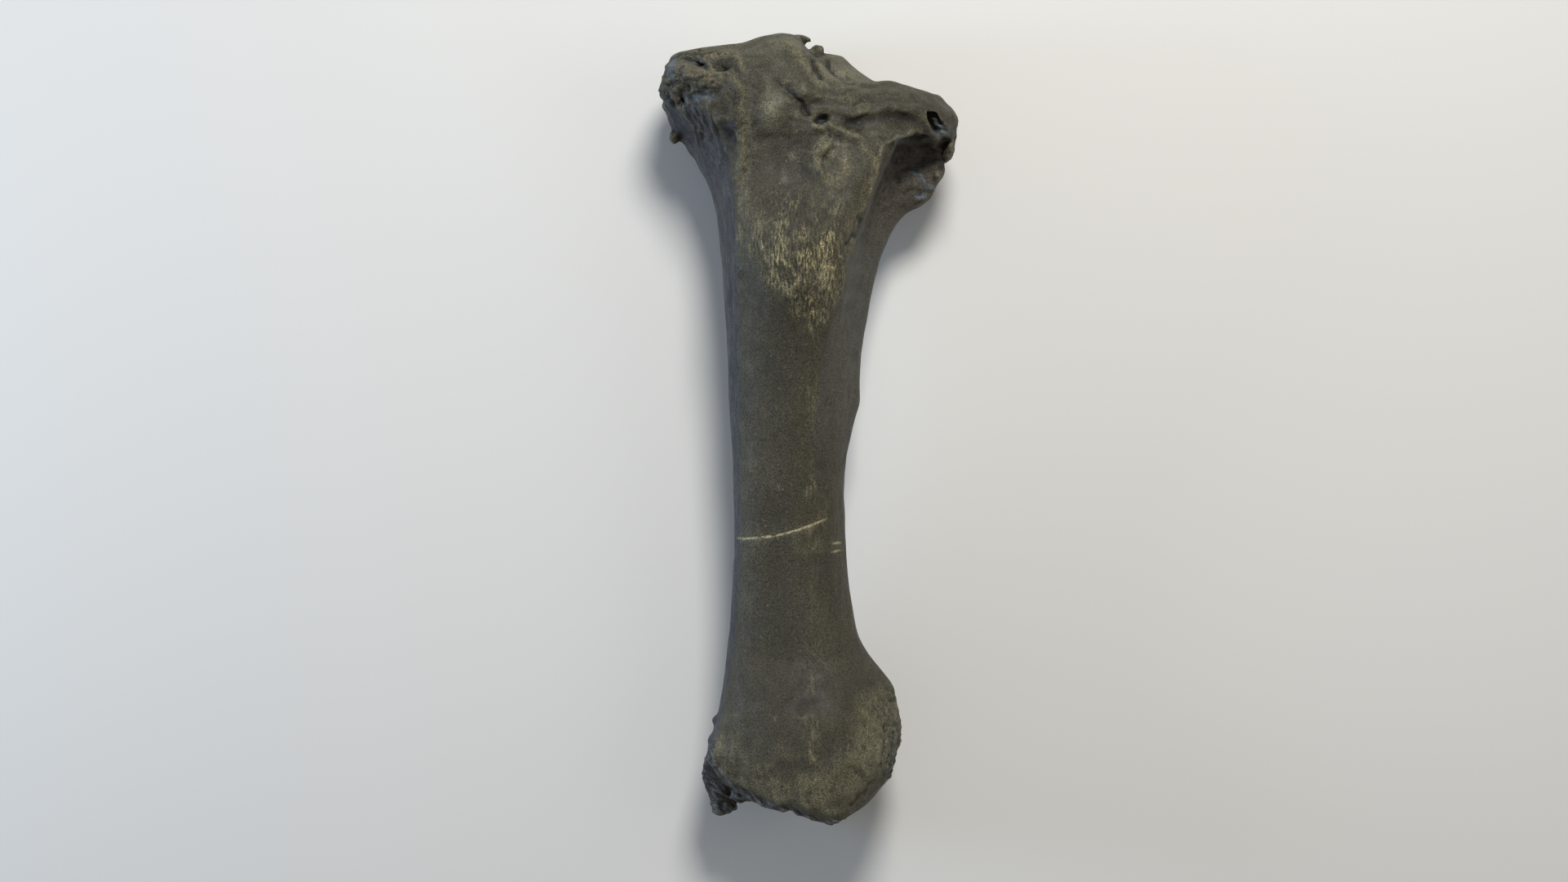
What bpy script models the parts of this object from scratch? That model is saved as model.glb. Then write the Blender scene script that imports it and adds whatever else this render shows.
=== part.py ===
"""A fossil mastodon tibia, the left shin bone, in one piece.

The bone lies on its back. X runs from the inner (medial) side to the outer (lateral) side, Y from the
ankle end to the knee end, and Z up, out of the front of the bone. The origin is on the surface that the
bone lies on, under the middle of its box. Shapes are drawn in millimetres for a bone of DRAWN_LENGTH, and
scaled to metres once.
"""

import math

import bmesh
import bpy
import numpy as np
from mathutils import Euler, Matrix, Vector, noise

# Driving dimensions, in millimetres
LENGTH = 700.0
DRAWN_LENGTH = 699.9
FLAT_CUT = 1.8

# How finely the surface is made: grid and voxel steps in millimetres, and the final number of faces
POINTS_PER_SPAN = 18
RING_STEP = 2.0
CAP_RINGS = 40
VOXEL = 2.2
TRIANGLES = 9500
SOFTEN_FACTOR = 0.5
SOFTEN_TIMES = 2

# The gentle lumps of the whole surface, and the unevenness of the added balls
LUMP_HEIGHT = 1.7
BROAD_LUMP_SCALE = 26.0
SMALL_LUMP_SCALE = 11.0
SMALL_LUMP_SHARE = 0.6
BALL_UNEVENNESS = 0.3
BALL_LUMP_SCALE = 8.0

FLOOR_CUT_DEPTH = 40.0
METRES = 0.001 * LENGTH / DRAWN_LENGTH

# Cross sections of the shaft: the height y, then x and z of twelve points. They go round from the medial
# edge over the front to the lateral edge, and back under the bone: medial edge, front-medial edge,
# inner front, mid front, front crest, outer front, lateral edge, back-lateral, outer back, mid back,
# inner back, back-medial.
SECTIONS = (
    (-262, ((-82, 70), (-75, 112), (-47, 132), (-10, 143), (28, 141), (68, 114),
            (81, 82), (69, 34), (32, 3), (-8, 6), (-48, 4), (-77, 31))),
    (-245, ((-79, 73), (-71, 110), (-46, 129), (-12, 138), (25, 136), (62, 113),
            (77, 82), (64, 37), (29, 9), (-9, 11), (-46, 11), (-74, 37))),
    (-226, ((-76, 74), (-68, 107), (-46, 124), (-14, 131), (18, 129), (50, 112),
            (70, 82), (57, 41), (25, 16), (-11, 17), (-45, 18), (-71, 41))),
    (-205, ((-74, 75), (-66, 105), (-45, 119), (-16, 125), (12, 123), (36, 109),
            (53, 81), (46, 45), (20, 23), (-12, 23), (-44, 25), (-68, 45))),
    (-183, ((-71, 76), (-64, 104), (-44, 118), (-17, 123), (9, 121), (30, 107),
            (43, 80), (37, 48), (16, 28), (-13, 28), (-43, 30), (-65, 48))),
    (-150, ((-69, 78), (-62, 105), (-44, 118), (-18, 123), (5, 121), (25, 107),
            (37, 79), (32, 51), (12, 34), (-14, 32), (-42, 36), (-61, 52))),
    (-100, ((-67, 81), (-60, 108), (-45, 121), (-20, 126), (2, 123), (22, 108),
            (33, 80), (28, 54), (10, 40), (-15, 37), (-40, 42), (-58, 56))),
    (-45, ((-68, 84), (-60, 113), (-44, 127), (-19, 133), (1, 129), (21, 112),
           (32, 83), (27, 58), (10, 45), (-14, 43), (-39, 48), (-59, 60))),
    (-10, ((-70, 86), (-60, 116), (-43, 131), (-17, 138), (3, 134), (25, 115),
           (38, 84), (33, 60), (14, 48), (-12, 47), (-38, 51), (-60, 62))),
    (20, ((-72, 87), (-61, 119), (-42, 135), (-16, 143), (5, 139), (29, 117),
          (45, 85), (38, 61), (18, 50), (-10, 50), (-37, 53), (-60, 63))),
    (60, ((-73, 88), (-62, 123), (-42, 142), (-15, 151), (10, 145), (32, 117),
          (47, 84), (42, 60), (22, 51), (-8, 53), (-36, 55), (-61, 64))),
    (100, ((-75, 88), (-64, 127), (-42, 150), (-14, 161), (18, 150), (37, 114),
           (53, 80), (47, 56), (26, 49), (-6, 54), (-37, 54), (-62, 63))),
    (130, ((-77, 87), (-67, 130), (-43, 159), (-12, 171), (27, 157), (42, 110),
           (59, 77), (53, 51), (29, 45), (-5, 54), (-38, 51), (-65, 61))),
    (160, ((-80, 84), (-68, 131), (-44, 163), (-8, 174), (34, 160), (48, 106),
           (68, 73), (60, 46), (33, 41), (-3, 54), (-40, 48), (-68, 58))),
    (185, ((-84, 81), (-67, 132), (-42, 160), (-5, 168), (44, 157), (55, 101),
           (81, 66), (71, 40), (38, 36), (-1, 53), (-43, 43), (-72, 54))),
    (206, ((-90, 79), (-66, 134), (-40, 156), (-4, 161), (52, 154), (62, 96),
           (105, 60), (85, 32), (45, 28), (0, 51), (-47, 36), (-78, 47))),
    (230, ((-100, 77), (-65, 136), (-38, 153), (-4, 156), (61, 151), (74, 90),
           (121, 64), (99, 22), (54, 16), (1, 47), (-53, 24), (-90, 38))),
    (249, ((-109, 77), (-67, 137), (-39, 154), (-5, 156), (69, 148), (84, 90),
           (131, 70), (108, 18), (60, 5), (2, 43), (-58, 9), (-101, 29))),
    (258, ((-115, 79), (-71, 137), (-42, 155), (-7, 158), (66, 149), (97, 128),
           (130, 86), (111, 19), (62, 0), (3, 41), (-61, 4), (-108, 27))),
    (268, ((-122, 81), (-79, 137), (-48, 155), (-9, 158), (57, 149), (98, 133),
           (131, 90), (112, 20), (64, -1), (4, 39), (-63, 1), (-113, 26))),
)
# Sections between the last flat one and the rim at each end: the share of the way, then the same points
KNEE_SECTIONS = (
    (0.34, ((-129, 83), (-98, 132), (-55, 151), (-12, 155), (50, 147), (95, 133),
            (133, 89), (112, 23), (65, -1), (4, 38), (-64, 0), (-117, 27))),
    (0.75, ((-130, 83), (-116, 124), (-62, 137), (-17, 138), (40, 141), (88, 128),
            (129, 88), (109, 28), (64, 3), (4, 39), (-64, 3), (-117, 29))),
    (1.00, ((-125, 82), (-110, 114), (-62, 120), (-17, 112), (34, 130), (80, 119),
            (121, 88), (103, 33), (62, 9), (4, 43), (-63, 8), (-111, 33))),
)
ANKLE_SECTIONS = (
    (1.00, ((-98, 61), (-83, 86), (-49, 107), (-8, 132), (26, 136), (59, 112),
            (75, 82), (60, 40), (30, 14), (-8, 15), (-48, 14), (-78, 35))),
    (0.92, ((-98, 62), (-86, 94), (-51, 119), (-8, 140), (28, 140), (64, 115),
            (79, 83), (66, 35), (32, 6), (-8, 9), (-50, 7), (-82, 30))),
    (0.70, ((-94, 63), (-84, 102), (-52, 126), (-8, 142), (29, 141), (66, 117),
            (81, 83), (68, 34), (32, 2), (-8, 5), (-50, 3), (-83, 29))),
    (0.34, ((-88, 67), (-79, 108), (-50, 130), (-9, 144), (29, 142), (68, 115),
            (81, 83), (70, 33), (32, 0), (-8, 4), (-50, 1), (-80, 28))),
)

# Heights of the knee surface, as (x, y) points across the bone
MEDIAL_CREST = ((-130, 330), (-104, 333), (-63, 339), (-45, 345), (-20, 349), (-10, 348), (-4, 339),
                (4, 336))
LATERAL_BACK = ((-5, 338), (3, 336), (14, 335), (29, 332), (37, 324), (48, 316), (58, 308), (78, 304),
                (93, 301), (107, 297), (122, 294), (134, 288))
LATERAL_FRONT = ((0, 322), (17, 316), (26, 307), (37, 303), (52, 304), (72, 306), (81, 304), (93, 301),
                 (107, 297), (122, 294), (134, 288))
# Heights of the ankle surface along its front and back rims, as (x, y) points across the bone
ANKLE_FRONT = ((-92, -294), (-85, -299), (-79, -308), (-67, -321), (-47, -331), (-13, -342), (4, -348),
               (20, -350), (34, -347), (44, -341), (57, -332), (68, -322), (80, -307))
ANKLE_BACK = ((-84, -326), (-62, -336), (-40, -339), (-13, -345), (8, -344), (36, -334), (66, -312))
# Hollows of the end surfaces, placed by x and z: centre, radii and depth
KNEE_FACETS = (
    ((-68, 60), (48, 50), 15.0),
    ((74, 58), (44, 46), 9.0),
)
KNEE_NOTCH = ((2, 34), (20, 24), 13.0)
ANKLE_FACETS = (
    ((2, 72), (58, 54), 18.0),
    ((40, 66), (26, 40), 4.0),
)
# How far the malleolus reaches beyond the ankle surface
MALLEOLUS = ((-81, 62), (16, 24), 29.5)
# How far the knee surface slopes away along its back rim
BACK_SLOPE = 5.0
KNEE_CENTRE = (0.0, 62.0)
ANKLE_CENTRE = (-8.0, 68.0)
ROUNDED_RIM = 3.0

# Local forms on one face of the bone: face, centre, radii and height.
# Front and back forms are placed by x and y, and medial and lateral forms by z and y.
FORMS = (
    # Recess above the tuberosity, and the tuberosity
    ("front", (-25, 236), (24, 36), -5.0),
    ("front", (-12, 150), (40, 34), 3.0),
    ("front", (-35, 279), (10, 13), 3.5),
    ("front", (-5, 292), (11, 8), 2.5),
    # Rough front corner of the medial condyle
    ("front", (-109, 315), (7, 5), 3.0),
    ("front", (-78, 317), (7, 5), -6.5),
    ("front", (-77, 329), (12, 4), 3.0),
    ("front", (-120, 322), (6, 7), -2.0),
    ("front", (-92, 302), (15, 7), 4.0),
    ("front", (-103, 294), (14, 5), -6.0),
    ("front", (-88, 282), (8, 6), 3.0),
    ("medial", (96, 301), (13, 7), 6.5),
    ("medial", (84, 287), (14, 6), 4.5),
    ("medial", (112, 296), (8, 12), 3.0),
    ("medial", (70, 318), (22, 7), -2.0),
    ("medial", (96, 262), (16, 18), -4.0),
    ("medial", (70, 228), (26, 44), -4.0),
    # Pit and shallow hollows above the tuberosity
    ("front", (37, 264), (11, 8), -4.5),
    ("front", (10, 316), (9, 14), -6.0),
    ("front", (-14, 322), (12, 22), 3.5),
    # Ledge of the lateral condyle over its fossa
    ("front", (78, 267), (20, 7), -4.0),
    ("front", (58, 291), (30, 8), 2.0),
    ("front", (101, 218), (12, 6), 6.5),
    ("front", (86, 226), (9, 12), -5.0),
    ("front", (106, 236), (12, 6), -4.0),
    ("front", (108, 205), (8, 6), 4.0),
    ("lateral", (64, 227), (20, 7), 3.5),
    ("lateral", (62, 237), (24, 4), -4.0),
    ("lateral", (58, 210), (18, 5), 4.0),
    ("lateral", (56, 201), (18, 4), 3.5),
    ("lateral", (60, 262), (26, 10), 3.0),
    # Ankle end
    ("front", (-84, -318), (8, 9), -3.0),
    ("front", (-62, -333), (12, 6), -4.0),
    ("front", (66, -270), (9, 26), 2.0),
    ("front", (38, -326), (18, 12), 2.5),
    ("medial", (66, -282), (22, 9), 3.0),
    ("medial", (58, -312), (20, 9), -2.5),
    ("medial", (50, -262), (16, 10), -2.0),
    ("lateral", (62, -300), (24, 14), -4.0),
    ("lateral", (88, -262), (14, 7), 2.5),
    ("lateral", (84, -236), (16, 8), 3.0),
    ("lateral", (76, -282), (16, 6), 2.0),
    # Shaft
    ("lateral", (84, 21), (8, 5), 2.5),
    ("lateral", (98, 40), (14, 90), -2.5),
    ("back", (4, 196), (36, 52), -9.0),
    ("back", (-10, 60), (16, 90), -2.5),
    ("back", (26, 120), (7, 90), 3.0),
    ("back", (-8, -262), (14, 34), -5.0),
    ("back", (-48, -255), (9, 44), 2.5),
)
# Ridges and creases along the front: their points, half width and height
RIDGES = (
    # Medial corner: lip, crescent crack, arch over the hollow in its border, and ribs down the flank
    (((-122, 316), (-113, 307), (-98, 311), (-81, 307), (-67, 304), (-61, 294)), 4.5, 4.0),
    (((-108, 325), (-98, 323), (-93, 317), (-90, 312), (-82, 310)), 3.0, -6.0),
    (((-80, 271), (-72, 268), (-67, 263), (-62, 254), (-60, 242), (-63, 218)), 3.6, 4.0),
    (((-105, 294), (-97, 272), (-87, 243)), 2.6, 2.2),
    (((-113, 286), (-103, 262)), 2.6, 2.2),
    (((-94, 290), (-86, 270), (-77, 243)), 2.6, 2.2),
    # Eminence, with the creases and the low ridge between it and the lateral facet
    (((-20, 338), (-12, 329), (-5, 320), (2, 309), (8, 302)), 4.0, 2.5),
    (((4, 322), (5, 312), (8, 305)), 2.6, -4.0),
    (((10, 322), (13, 312), (21, 304)), 3.0, 3.0),
    (((15, 325), (19, 315), (28, 307), (37, 302)), 2.6, -3.5),
    # Lip of the lateral condyle, its ledge and the edge beside the fossa
    (((35, 273), (49, 276), (67, 279), (86, 278), (97, 278), (103, 270), (110, 260), (119, 249)), 3.6, 3.5),
    (((73, 251), (76, 255), (83, 256), (90, 259), (100, 257), (109, 253), (116, 248)), 3.2, 3.5),
    (((76, 255), (73, 248), (71, 235)), 3.0, 2.5),
    # Groove, the lip below its pit and the crescent below that
    (((-29, 301), (-22, 294), (-12, 286), (-6, 277), (-2, 273)), 2.8, -6.5),
    (((6, 262), (12, 263), (18, 264), (28, 260), (38, 255), (44, 252)), 2.8, 3.0),
    (((15, 245), (8, 241), (5, 233), (7, 225), (10, 219)), 4.0, 4.5),
    # Nick beside the tuberosity
    (((48, 205), (45, 184), (41, 168), (33, 158)), 3.0, -3.5),
    # Lower border of the front, and the ridges of the malleolus
    (((-87, -286), (-83, -300), (-76, -310), (-62, -321), (-44, -329), (-24, -336)), 5.0, 4.0),
    (((-86, -306), (-79, -319), (-65, -331), (-46, -337)), 4.0, -3.5),
    (((-90, -322), (-80, -334)), 4.0, 2.5),
)
# Lumps that stand out of the surface: centre, radii and turn about the three axes in degrees
LUMPS = (
    ((-9, 345.5, 97), (10.5, 3.4, 7), (0, 0, -8)),
    ((7, 335, 90), (4.6, 6, 6), (0, 0, -10)),
    ((-119, 296, 112), (4, 9, 6), (0, 0, 8)),
    ((-125, 293, 98), (4, 7, 7), (0, 0, 10)),
    ((-118, 263, 70), (7, 6, 9), (0, 0, -20)),
    ((-83, -266, 66), (4.6, 4.6, 8), (0, 0, 0)),
)
# Pits that cut under the surface: centre, radii and turn in degrees
PITS = (
    ((112, 266, 118), (6, 17, 17), (0, 0, 42)),
    ((120, 242, 92), (2.4, 9, 14), (0, 0, 4)),
    ((11, 267.6, 156), (7.5, 4.6, 11), (0, 0, 20)),
    ((-71, 255, 145), (4.6, 11, 9.5), (0, 0, 32)),
    ((-114, 287, 115), (3.5, 5, 7), (0, 0, 10)),
    ((91, 251, 118), (15, 9, 20), (0, 0, 12)),
    ((109, 245, 114), (14, 7, 18), (0, 0, -22)),
    ((-98, 320, 126), (7, 3, 8), (0, 0, -40)),
    ((-77, 314, 134), (7, 3.4, 8), (0, 0, 10)),
    ((18, 96, 44), (4, 8, 8), (30, 0, 0)),
)


def clear_scene():
    for old in list(bpy.data.objects):
        bpy.data.objects.remove(old)


def smooth_step(low, high, value):
    t = np.clip((value - low) / (high - low), 0.0, 1.0)
    return t * t * (3.0 - 2.0 * t)


def along_points(points, x):
    return np.interp(x, [p[0] for p in points], [p[1] for p in points])


def dish(x, z, centre, radii):
    """1 in the middle of an oval hollow, falling to 0 at its edge."""
    distance = ((x - centre[0]) / radii[0]) ** 2 + ((z - centre[1]) / radii[1]) ** 2
    return np.clip(1.0 - distance, 0.0, 1.0)


def bump(x, z, centre, radii):
    return np.exp(-(((x - centre[0]) / radii[0]) ** 2) - ((z - centre[1]) / radii[1]) ** 2)


def knee_height(x, z):
    """The height of the knee surface: two hollow facets with the eminence between them."""
    medial = along_points(MEDIAL_CREST, x)
    to_front = smooth_step(84.0, 124.0, z)
    lateral = along_points(LATERAL_BACK, x) * (1.0 - to_front) + along_points(LATERAL_FRONT, x) * to_front
    to_lateral = smooth_step(-8.0, 12.0, x)
    height = medial * (1.0 - to_lateral) + lateral * to_lateral
    for centre, radii, depth in KNEE_FACETS:
        height -= depth * dish(x, z, centre, radii)
    centre, radii, depth = KNEE_NOTCH
    height -= depth * bump(x, z, centre, radii)
    height -= BACK_SLOPE * smooth_step(40.0, 0.0, z)
    return height


def ankle_height(x, z):
    """The height of the ankle surface: a hollow between the front and back rims, and the malleolus."""
    to_front = smooth_step(12.0, 128.0, z)
    height = along_points(ANKLE_BACK, x) * (1.0 - to_front) + along_points(ANKLE_FRONT, x) * to_front
    for centre, radii, depth in ANKLE_FACETS:
        height += depth * dish(x, z, centre, radii)
    centre, radii, reach = MALLEOLUS
    height -= reach * bump(x, z, centre, radii)
    return height


def round_section(points):
    """Closed smooth curves through each section's points, as an array of sections by points by 3."""
    points = np.asarray(points, float)
    before, after, later = (np.roll(points, n, axis=1) for n in (1, -1, -2))
    spans = []
    for step in range(POINTS_PER_SPAN):
        t = step / POINTS_PER_SPAN
        spans.append(
            0.5 * (2 * points + (after - before) * t
                   + (2 * before - 5 * points + 4 * after - later) * t ** 2
                   + (3 * points - before - 3 * after + later) * t ** 3)
        )
    stacked = np.stack(spans, axis=2)
    return stacked.reshape(points.shape[0], -1, 3)


def limited_slopes(values, gaps):
    """Slopes at each section that never make the curve between two sections overshoot them."""
    secants = (values[1:] - values[:-1]) / gaps[:, None, None]
    slopes = np.zeros_like(values)
    same_way = secants[1:] * secants[:-1] > 0
    harmonic = 2 * secants[1:] * secants[:-1] / np.where(same_way, secants[1:] + secants[:-1], 1.0)
    slopes[1:-1] = np.where(same_way, harmonic, 0.0)
    slopes[0], slopes[-1] = secants[0], secants[-1]
    return slopes


def join_sections(rings):
    """Rings every RING_STEP from the ankle rim to the knee rim, on smooth curves through the sections."""
    places = rings[:, :, 1].mean(axis=1)
    gaps = np.diff(places)
    slopes = limited_slopes(rings, gaps)
    count = int((places[-1] - places[0]) / RING_STEP)
    wanted = np.linspace(places[0], places[-1], count)
    span = np.clip(np.searchsorted(places, wanted, side="right") - 1, 0, len(gaps) - 1)
    t = ((wanted - places[span]) / gaps[span])[:, None, None]
    gap = gaps[span][:, None, None]
    return (
        (2 * t ** 3 - 3 * t ** 2 + 1) * rings[span]
        + (t ** 3 - 2 * t ** 2 + t) * gap * slopes[span]
        + (3 * t ** 2 - 2 * t ** 3) * rings[span + 1]
        + (t ** 3 - t ** 2) * gap * slopes[span + 1]
    )


def end_stations(sections, height, from_y, lowered):
    """An end's sections in space: each lies a share of the way from the height from_y to the end's rim."""
    stations = []
    for share, outline in sections:
        x, z = np.array(outline, float).T
        y = from_y + (height(x, z) + lowered - from_y) * share
        stations.append(np.stack([x, y, z], axis=1))
    return stations


def wall_rings():
    """The bone's side wall as rings of points, from the ankle to the knee."""
    stations = end_stations(ANKLE_SECTIONS, ankle_height, SECTIONS[0][0], ROUNDED_RIM)
    for y, outline in SECTIONS:
        stations.append(np.array([(x, y, z) for x, z in outline], float))
    stations += end_stations(KNEE_SECTIONS, knee_height, SECTIONS[-1][0], -ROUNDED_RIM)
    return join_sections(round_section(stations))


def cap_rings(rim, centre, height):
    """Rings shrinking from a rim to the middle of that end, lying on the end's surface."""
    rings = []
    for step in range(1, CAP_RINGS):
        share = 1.0 - step / CAP_RINGS
        x = centre[0] + (rim[:, 0] - centre[0]) * share
        z = centre[1] + (rim[:, 2] - centre[1]) * share
        rings.append(np.stack([x, height(x, z), z], axis=1))
    return rings


def bridge(mesh, first, second):
    count = len(first)
    for i in range(count):
        j = (i + 1) % count
        mesh.faces.new((first[i], first[j], second[j], second[i]))


def close_loop(mesh, loop, centre, height):
    """Closes the last loop of an end with triangles to the middle of that end's surface."""
    x, z = centre
    middle = mesh.verts.new((x, float(height(x, z)), z))
    for i, vertex in enumerate(loop):
        mesh.faces.new((vertex, loop[(i + 1) % len(loop)], middle))


def base_body():
    """The plain bone as one closed mesh: the wall, and a cap of shrinking rings at each end."""
    wall = wall_rings()
    ankle = cap_rings(wall[0], ANKLE_CENTRE, ankle_height)
    knee = cap_rings(wall[-1], KNEE_CENTRE, knee_height)
    rings = ankle[::-1] + list(wall) + knee
    mesh = bmesh.new()
    loops = [[mesh.verts.new(point) for point in ring] for ring in rings]
    for first, second in zip(loops, loops[1:]):
        bridge(mesh, first, second)
    close_loop(mesh, loops[0], ANKLE_CENTRE, ankle_height)
    close_loop(mesh, loops[-1], KNEE_CENTRE, knee_height)
    bmesh.ops.recalc_face_normals(mesh, faces=mesh.faces)
    return mesh


def facing(normals, face):
    """How squarely each point of the surface faces one of the bone's four sides, from 0 to 1."""
    amount = {
        "front": normals[:, 2],
        "back": -normals[:, 2],
        "medial": -normals[:, 0],
        "lateral": normals[:, 0],
    }[face]
    return smooth_step(0.05, 0.55, amount)


def form_offsets(points, normals):
    """How far the local forms push each point of the surface out."""
    offsets = np.zeros(len(points))
    for face, centre, radii, height in FORMS:
        place = points[:, 0] if face in ("front", "back") else points[:, 2]
        distance = ((place - centre[0]) / radii[0]) ** 2 + ((points[:, 1] - centre[1]) / radii[1]) ** 2
        offsets += height * np.exp(-distance) * facing(normals, face)
    return offsets


def distance_to_line(flat, line):
    """The distance of each (x, y) point from a line of straight stretches."""
    nearest = np.full(len(flat), np.inf)
    for start, end in zip(line, line[1:]):
        start = np.array(start, float)
        along = np.array(end, float) - start
        t = np.clip((flat - start) @ along / (along @ along), 0.0, 1.0)
        nearest = np.minimum(nearest, np.linalg.norm(flat - start - t[:, None] * along, axis=1))
    return nearest


def ridge_offsets(points, normals):
    """How far the ridges and creases push each point of the front out."""
    offsets = np.zeros(len(points))
    for line, half_width, height in RIDGES:
        distance = distance_to_line(points[:, :2], line) / half_width
        offsets += height * np.exp(-distance ** 2)
    return offsets * facing(normals, "front")


def roughness(points):
    """How rough the surface is: the ends and the tuberosity are lumpy, and the shaft is nearly smooth."""
    x, y, z = points.T
    knee_end = smooth_step(180.0, 290.0, y)
    ankle_end = smooth_step(-220.0, -310.0, y)
    tuberosity = np.exp(-((x + 12) / 50) ** 2 - ((y - 155) / 50) ** 2) * (z > 110)
    return 0.35 + knee_end + 0.9 * ankle_end + 0.9 * tuberosity


def shape_surface(mesh):
    """Moves each point of the body along its normal, by the local forms and by gentle lumps."""
    mesh.normal_update()
    points = np.array([vertex.co for vertex in mesh.verts])
    normals = np.array([vertex.normal for vertex in mesh.verts])
    broad = np.array([noise.noise(vertex.co / BROAD_LUMP_SCALE) for vertex in mesh.verts])
    small = np.array([noise.noise(vertex.co / SMALL_LUMP_SCALE) for vertex in mesh.verts])
    offsets = form_offsets(points, normals) + ridge_offsets(points, normals)
    offsets += LUMP_HEIGHT * roughness(points) * (broad + SMALL_LUMP_SHARE * small)
    moved = points + normals * offsets[:, None]
    for vertex, place in zip(mesh.verts, moved):
        vertex.co = place


def add_balls(mesh, balls):
    """Adds an uneven ball to a mesh for each centre, radii and turn."""
    for centre, radii, turn in balls:
        rotation = Euler([math.radians(angle) for angle in turn])
        place = Matrix.LocRotScale(Vector(centre), rotation, Vector(radii))
        made = bmesh.ops.create_icosphere(mesh, subdivisions=3, radius=1.0, matrix=place)["verts"]
        middle = Vector(centre)
        for vertex in made:
            vertex.co += (vertex.co - middle) * (BALL_UNEVENNESS * noise.noise(vertex.co / BALL_LUMP_SCALE))


def new_object(name, mesh):
    data = bpy.data.meshes.new(name)
    mesh.to_mesh(data)
    mesh.free()
    data.transform(Matrix.Scale(METRES, 4))
    made = bpy.data.objects.new(name, data)
    bpy.context.scene.collection.objects.link(made)
    return made


def cutter(name, mesh):
    made = new_object(name, mesh)
    made.hide_render = True
    made.display_type = "WIRE"
    return made


def pit_cutter():
    mesh = bmesh.new()
    add_balls(mesh, PITS)
    return cutter("pit_cutter", mesh)


def floor_cutter():
    """A slab below the surface that the bone lies on. Its top trims the rest points flat."""
    mesh = bmesh.new()
    size = Vector((2 * LENGTH, 2 * LENGTH, FLOOR_CUT_DEPTH))
    place = Matrix.LocRotScale(Vector((0, 0, -FLOOR_CUT_DEPTH / 2)), None, size)
    bmesh.ops.create_cube(mesh, size=1.0, matrix=place)
    return cutter("floor_cutter", mesh)


def bone_material():
    material = bpy.data.materials.new("fossil_bone")
    material.use_nodes = True
    shader = material.node_tree.nodes["Principled BSDF"]
    shader.inputs["Base Color"].default_value = (0.105, 0.1, 0.078, 1.0)
    shader.inputs["Roughness"].default_value = 0.62
    shader.inputs["Metallic"].default_value = 0.0
    return material


def subtract(target, tool, name):
    modifier = target.modifiers.new(name, "BOOLEAN")
    modifier.operation = "DIFFERENCE"
    modifier.solver = "EXACT"
    modifier.object = tool


def evaluated_mesh(target):
    bpy.context.view_layer.update()
    graph = bpy.context.evaluated_depsgraph_get()
    return bpy.data.meshes.new_from_object(target.evaluated_get(graph))


def triangle_count(mesh):
    mesh.calc_loop_triangles()
    return len(mesh.loop_triangles)


def fuse(target, name):
    """Makes one closed surface of all that the target holds, with a voxel remesh."""
    remesh = target.modifiers.new(name, "REMESH")
    remesh.mode = "VOXEL"
    remesh.voxel_size = VOXEL * METRES


def soften(target):
    smooth = target.modifiers.new("soften_joins", "SMOOTH")
    smooth.factor = SOFTEN_FACTOR
    smooth.iterations = SOFTEN_TIMES


def resting_place(mesh):
    """Where the bone is placed: its box in the middle over the origin, its lowest points just trimmed."""
    corners = np.array([vertex.co for vertex in mesh.vertices])
    low, high = corners.min(axis=0), corners.max(axis=0)
    return Vector((-(low[0] + high[0]) / 2, -(low[1] + high[1]) / 2, -low[2] - FLAT_CUT * METRES))


def make_tibia():
    body = base_body()
    shape_surface(body)
    add_balls(body, LUMPS)
    tibia = new_object("tibia", body)
    fuse(tibia, "fuse_lumps")
    pits = pit_cutter()
    subtract(tibia, pits, "cut_pits")
    fuse(tibia, "fuse_pits")
    soften(tibia)
    fused = evaluated_mesh(tibia)
    tibia.location = pits.location = resting_place(fused)
    thin = tibia.modifiers.new("fewer_faces", "DECIMATE")
    thin.ratio = TRIANGLES / triangle_count(fused)
    subtract(tibia, floor_cutter(), "trim_rest_points")
    tibia.data.materials.append(bone_material())
    return tibia


clear_scene()
make_tibia()
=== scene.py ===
"""The looks of the fossil tibia: its fine surface, its material, a pale floor, soft light and the camera.

Lengths are in millimetres until they are given to Blender. Places are in the part's own frame: X from the
inner (medial) to the outer (lateral) side of the bone, Y from the ankle to the knee, Z out of its front.
Forms on the front are placed by x and y alone.
"""

import itertools
import math

import bmesh
import bpy
import numpy as np
from mathutils import Euler, Matrix, Vector


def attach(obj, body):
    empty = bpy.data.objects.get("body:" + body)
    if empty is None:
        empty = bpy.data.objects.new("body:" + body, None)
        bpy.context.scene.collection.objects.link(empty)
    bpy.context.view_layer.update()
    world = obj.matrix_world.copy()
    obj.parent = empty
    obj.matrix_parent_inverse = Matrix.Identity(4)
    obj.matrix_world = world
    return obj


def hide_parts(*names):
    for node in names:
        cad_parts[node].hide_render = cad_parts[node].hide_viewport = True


MM = 0.001

# Noise: its seed, the gain that brings it to about -1 to 1, and how far its layers are moved from each other
SEED = 7
NOISE_GAIN = 1.7
LAYER_SHIFT = 17.3
RIDGE_SHIFT = 31.7
RIDGE_SHARPNESS = 2.5

# How finely the surface is made, and how many times each part of it is softened
VOXEL = 1.3
TRIANGLES = 192000
SOFTEN_STEP = 0.5
SOFTEN_SHAFT = 26
SOFTEN_ENDS = 7
# The ends are brought out against their own softened shape
SHARPEN_TIMES = 45
SHARPEN_SHARE = 0.7
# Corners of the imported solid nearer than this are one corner
JOIN_DISTANCE = 0.01
# The balls that are fused in or cut out
BALL_SUBDIVISIONS = 4
BALL_UNEVENNESS = 0.22
BALL_LUMP_SCALE = 5.0
# How far a point stands out: the softening it is measured against, and the height that counts as full
NEAR_TIMES, NEAR_HEIGHT = 8, 1.3
FAR_TIMES, FAR_HEIGHT = 70, 6.0

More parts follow.
